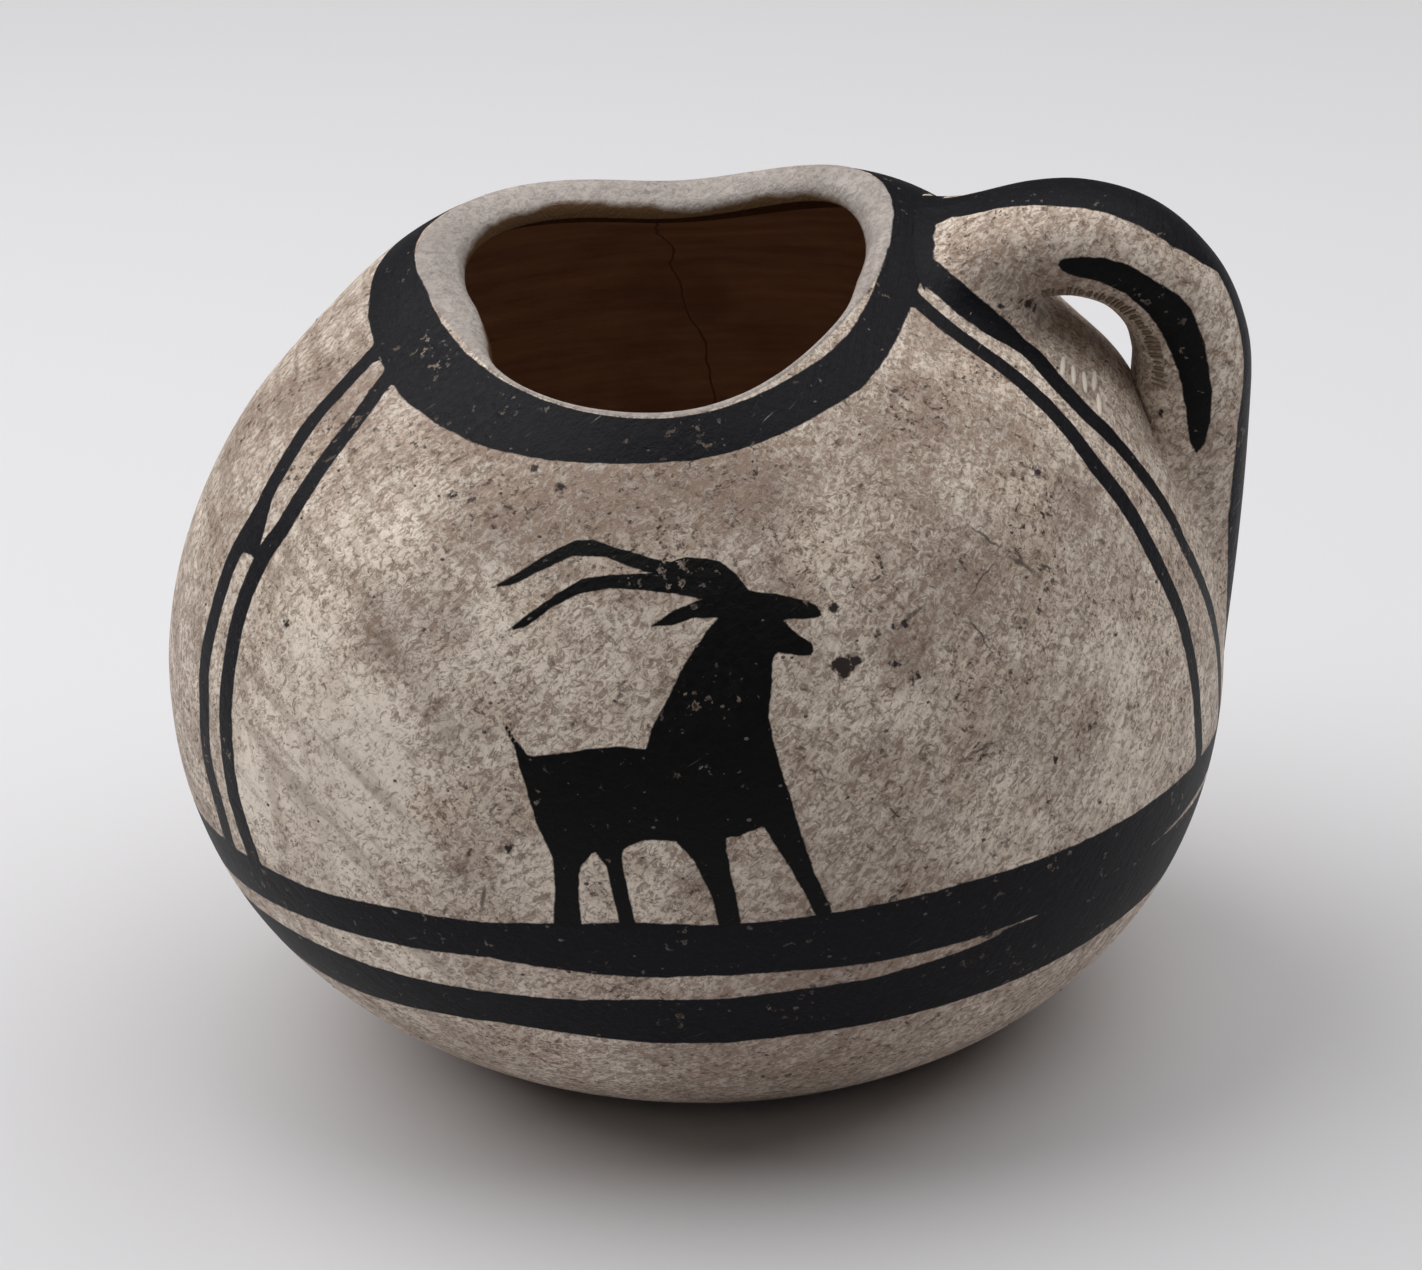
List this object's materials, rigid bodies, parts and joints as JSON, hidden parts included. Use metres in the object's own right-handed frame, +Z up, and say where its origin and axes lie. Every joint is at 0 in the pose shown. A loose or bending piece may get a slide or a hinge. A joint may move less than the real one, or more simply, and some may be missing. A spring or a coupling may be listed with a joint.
{
  "type": "pitcher",
  "caption": "Globular coil-built clay pitcher with a dented bevelled lip and an arched strap handle from rim to belly; pale slip painted with dark bands and a horned animal.",
  "frame": {"origin": "centre of the flat foot, on the surface the pitcher stands on", "axes": "+Z up, +X towards the handle, -Y towards the painted front"},
  "size_m": [0.1451, 0.1288, 0.1135],
  "materials": {
    "slipped_clay": "matte burnished slip",
    "painted_clay": "matte carbon-black paint over slip"
  },
  "bodies": {
    "root": {"base_pat": "slipped_clay", "wall_coil_1": "slipped_clay", "wall_coil_2": "slipped_clay", "wall_coil_3": "slipped_clay", "wall_coil_4": "slipped_clay", "wall_coil_5": "slipped_clay", "rim_coil": "painted_clay", "handle_strap": "slipped_clay", "handle_upper_luting": "slipped_clay", "handle_lower_luting": "slipped_clay"}
  },
  "joints": []
}
